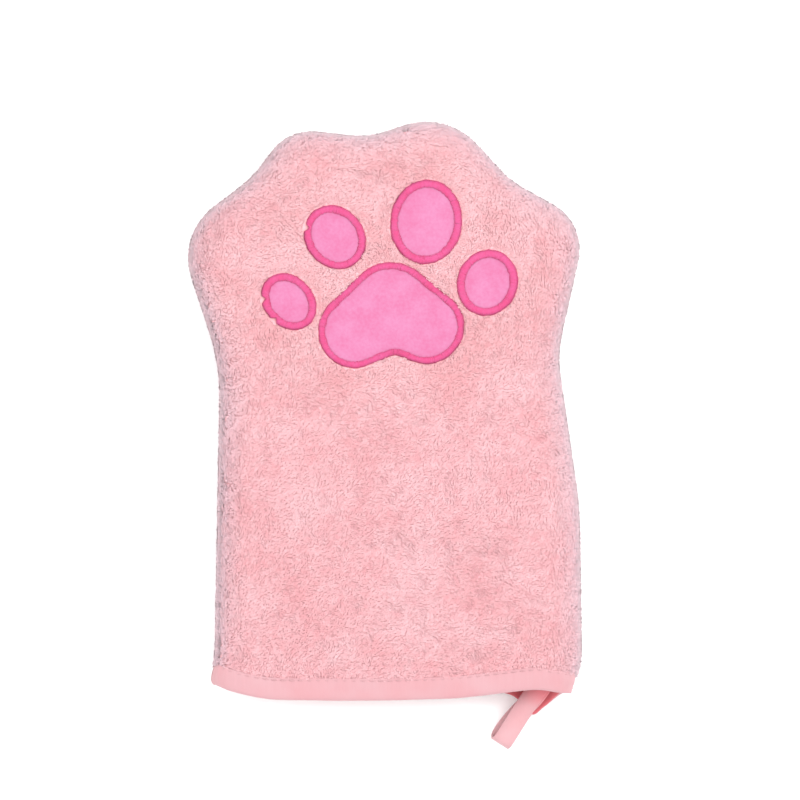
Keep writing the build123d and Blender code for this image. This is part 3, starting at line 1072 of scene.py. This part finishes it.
def cuff_binding(panel, name, node):
    """Knitted tape folded round the cloth's edge, puckered at its stitches."""
    columns = []
    spots = hem_columns(panel)
    fold_low = -CLOTH_THICK - FOLD_GAP
    middle, radius = (FOLD_GAP + fold_low) / 2, (FOLD_GAP - fold_low) / 2
    turn = [(-radius * 0.8 * math.sin(a), middle + radius * math.cos(a))
            for a in np.linspace(0.5, 2.64, 5)]
    # up from the fold's edge, and out from the ground
    outer = [(BINDING_WIDTH, 0.62), (7.1, 0.78), (6.6, 0.68), (5.8, 0.84), (3.6, 0.92),
             (1.6, 0.9), (0.4, 0.85)]
    inner = [(0.4, fold_low), (3.0, fold_low), (6.4, fold_low + 0.1)]
    profile = outer + turn + inner
    for number, column in enumerate(spots):
        pucker = (0.1 * math.sin(number * CUFF_STEP * 2 * math.pi / CUFF_PITCH)
                  + 0.12 * math.sin(number * 0.13))
        skin, core = [], []
        for up, lift in profile:
            side = 1 if lift > middle else -1
            swell = pucker if 3.0 < up < 7.0 and side > 0 else 0.0
            skin.append(cuff_point(panel, column, up, lift + swell))
            past_fold = up < 0
            core.append(cuff_point(panel, column, up + TAPE_WALL * past_fold,
                                   lift - TAPE_WALL * side * (not past_fold)))
        columns.append(skin + core[::-1])
    first, last = (closing_column(columns[end], panel.side) for end in (0, -1))
    columns = [first, *columns, last]
    points, faces = lofted(columns)
    ring = 2 * len(profile)
    step = np.min(faces % ring, axis=1)
    # the folded-in half takes the coral of painted shade inside the mouth
    within = (step >= len(outer) + 3) & (step < len(profile))
    if panel.side > 0:
        faces = faces[:, ::-1]
    obj = mesh_object(name + "_tape", points, faces, [TAPE, TAPE_WITHIN_SHADE], per_face=within)
    # painted coral shade at the tape's first end, fading over nine columns
    tint = 0.45 * np.clip(1 - np.arange(len(columns)) / 9, 0, 1)
    point_value(obj, "root", np.repeat(tint, 2 * len(profile)))
    sewn(obj, "binding_tape", node)


def cuff_stitches(panel, name, node):
    spots = hem_columns(panel)
    per = CUFF_PITCH / CUFF_STEP
    paths = []
    for start in np.arange(6, len(spots) - 6, per):
        line = []
        for t in np.linspace(0, 1, 6):
            at = start + t * per * 0.7
            column = spots[int(at)] + (at % 1) * (spots[int(at) + 1] - spots[int(at)])
            line.append(cuff_point(panel, column, STITCH_ROW, 0.58 + 0.18 * math.sin(math.pi * t)))
        paths.append(line)
    stitches = tubes(np.array(paths), CUFF_THREAD, CUFF_THREAD / 2, np.array([0.0, 0.05, 1.0]))
    sewn(mesh_object(name + "_thread", *stitches, THREAD), "sewing_thread", node)


for panel, side_name in ((front, "front"), (back, "back")):
    cuff_binding(panel, side_name + "_cuff", side_name + "_cuff_binding")
    cuff_stitches(panel, side_name + "_cuff", side_name + "_cuff_stitching")


# -------- inside seam
def seam_allowance():
    """Both cloths turned in along the seam, wavy as cut edges are."""
    line = resampled(front.seam[front.seam[:, 1] > CUFF_END + 12], SEAM_STEP)
    ways = left_normals(line)
    columns, edge = [], []
    for number, (spot, way) in enumerate(zip(line, ways)):
        wave = 0.35 * math.sin(number * 0.37) + 0.2 * math.sin(number * 0.151)
        width = ALLOWANCE + 0.25 * math.sin(number * 0.7)
        root, tip = spot + way * 0.9, spot + way * width
        droop = wave * 0.8
        columns.append([(*root, SEAM_Z + 1.0), (*tip, SEAM_Z + droop + 1.0),
                        (*tip, SEAM_Z + droop - 1.1), (*root, SEAM_Z - 1.1)])
        edge.append((*tip, SEAM_Z + droop - 0.05))
    # the allowance wears the coral of painted shade inside the mitt
    sewn(mesh_object("seam_allowance", *lofted(columns), SHADED_INSIDE), "plush")
    return line, ways, np.array(edge)


def overlock_thread(edge, ways):
    """One thread that wraps over the allowance's edge, loop after loop."""
    lengths = lengths_along(edge)
    steps = int(lengths[-1] / OVERLOCK_PITCH) * OVERLOCK_TURN
    at = np.linspace(0, lengths[-1], steps)
    centre, way = values_at(at, lengths, edge), values_at(at, lengths, ways)
    turn = np.arange(steps) * 2 * math.pi / OVERLOCK_TURN
    flat = centre[:, :2] + way * (-1.0 + 1.25 * np.cos(turn))[:, None]
    path = np.column_stack([flat, centre[:, 2] + 1.3 * np.sin(turn)])
    loops = tubes(path[None], OVERLOCK_THREAD, OVERLOCK_THREAD, np.array([0.1, 0.2, 1.0]), sides=4)
    sewn(mesh_object("overlock_loops", *loops, THREAD), "sewing_thread", "overlock_thread")


def closing_seam(line, ways):
    """Lockstitches through both allowances, beside the seam."""
    paths = []
    for number in range(0, len(line) - 3, 3):
        a, b = (line[n] + ways[n] * SEAM_ROW for n in (number, number + 2))
        t = np.linspace(0, 1, 5)[:, None]
        flat = a * (1 - t) + b * t
        paths.append(np.concatenate([flat, SEAM_Z - 1.15 - 0.3 * np.sin(np.pi * t)], 1))
    stitches = tubes(np.array(paths), CLOSING_THREAD, CLOSING_THREAD, UP)
    sewn(mesh_object("closing_stitches", *stitches, THREAD), "sewing_thread", "closing_seam_thread")


seam_line, seam_ways, allowance_edge = seam_allowance()
overlock_thread(allowance_edge, seam_ways)
closing_seam(seam_line, seam_ways)


# -------- hanging loop
def hanging_loop():
    """One tape, folded at its tip, its two ends sewn inside at the side seam."""
    heading = math.radians(LOOP_HEADING)
    out = np.array([math.cos(heading), math.sin(heading), 0.0])
    side = np.array([-math.sin(heading), math.cos(heading), 0.0])
    joint = next(j for j in frame["joints"] if j["name"] == "loop_swing")
    bend = np.array(joint["pos_m"]) / MM
    path = smooth_line(LOOP_ROUTE, 0.7)
    d = unit(np.gradient(path, axis=0) * [1, 1, 0])
    half, thick = TAPE_WIDTH / 2, TAPE_THICK / 2
    flat, low = half - 0.2, thick * 0.4
    section = [(-flat, thick), (flat, thick), (half, low), (half, -low),
               (flat, -thick), (-flat, -thick), (-half, -low), (-half, low)]
    columns = []
    for number, ((s, h, shift), (ds, dh, _)) in enumerate(zip(path, d)):
        ripple = 0.06 * math.sin(number * 1.9)
        place = bend + out * s + UP * h + side * shift
        normal = out * -dh + UP * ds
        columns.append([place + side * (w + math.copysign(ripple, w)) + normal * n
                        for w, n in section])
    obj = mesh_object("hanging_tape", *lofted(columns), BRIGHTENED_LOOP)
    # painted shade and coral light on the loop near and inside the hem
    tint = 0.8 * np.clip((ROOT_SHADE_END - path[:, 0]) / ROOT_SHADE_LENGTH, 0, 1)
    point_value(obj, "root", np.repeat(tint, len(section)))
    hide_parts("hanging_loop", "hanging_loop_tails")
    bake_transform(obj)
    bar_tack(bend, out, side)


def bar_tack(bend, out, side):
    """Stitches to and fro across both ends of the tape."""
    bars = []
    for number in range(BAR_TACK_COUNT):
        s = BAR_TACK_START - number * BAR_TACK_STEP
        slant = 0.35 * (-1) ** number
        bars.append([bend + out * (s + slant * t) + side * w
                     + UP * (-1.25 - 0.25 * math.cos(w / 3.2 * 1.5))
                     for t, w in zip(np.linspace(-1, 1, 7), np.linspace(-3.1, 3.1, 7))])
    stitches = tubes(np.array(bars), BAR_TACK_THREAD, BAR_TACK_THREAD, UP)
    obj = mesh_object("bar_tack_stitches", *stitches, THREAD)
    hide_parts("loop_bar_tack")
    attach(obj, "back")


hanging_loop()


# -------- stage
def soft_lamp(name, place, energy, size):
    """A round lamp aimed at the middle of the mitt."""
    light = bpy.data.lights.new(name, "AREA")
    light.energy = energy
    light.shape = "DISK"
    light.size = size
    lamp = bpy.data.objects.new(name, light)
    lamp.location = place
    lamp.rotation_euler = (-Vector(place)).to_track_quat("-Z", "Y").to_euler()
    bpy.context.collection.objects.link(lamp)


def studio():
    sides = ((-1, -1), (1, -1), (1, 1), (-1, 1))
    corners = [(x * FLOOR_REACH, y * FLOOR_REACH, FLOOR_Z) for x, y in sides]
    floor = mesh_object("floor", corners, [[0, 1, 2, 3]], pale_floor())
    world = bpy.data.worlds.new("studio")
    bpy.context.scene.world = world
    world.use_nodes = True
    background = world.node_tree.nodes["Background"].inputs
    background["Color"].default_value = (1, 1, 1, 1)
    background["Strength"].default_value = WORLD_LIGHT
    soft_lamp("key", **KEY_LAMP)
    soft_lamp("fill", **FILL_LAMP)
    bpy.context.scene.view_settings.view_transform = "Standard"


def overhead_camera():
    """Straight above, with a lens that frames a set width."""
    data = bpy.data.cameras.new("camera")
    camera = bpy.data.objects.new("camera", data)
    bpy.context.collection.objects.link(camera)
    data.sensor_width = SENSOR_WIDTH
    data.lens = SENSOR_WIDTH * (CAMERA_HEIGHT - FRAMED_LEVEL) / (FRAMED_WIDTH * MM)
    data.clip_end = 20
    camera.location = (CAMERA_OFFSET[0] * MM, CAMERA_OFFSET[1] * MM, CAMERA_HEIGHT)
    bpy.context.scene.camera = camera


declare_sheets([
    (front_ground, front, ("front_pile", "front_cuff", "main_pad", "inner_", "outer_", "embroidery")),
    (back_ground, back, ("back_pile", "back_cuff")),
])
studio()
overhead_camera()
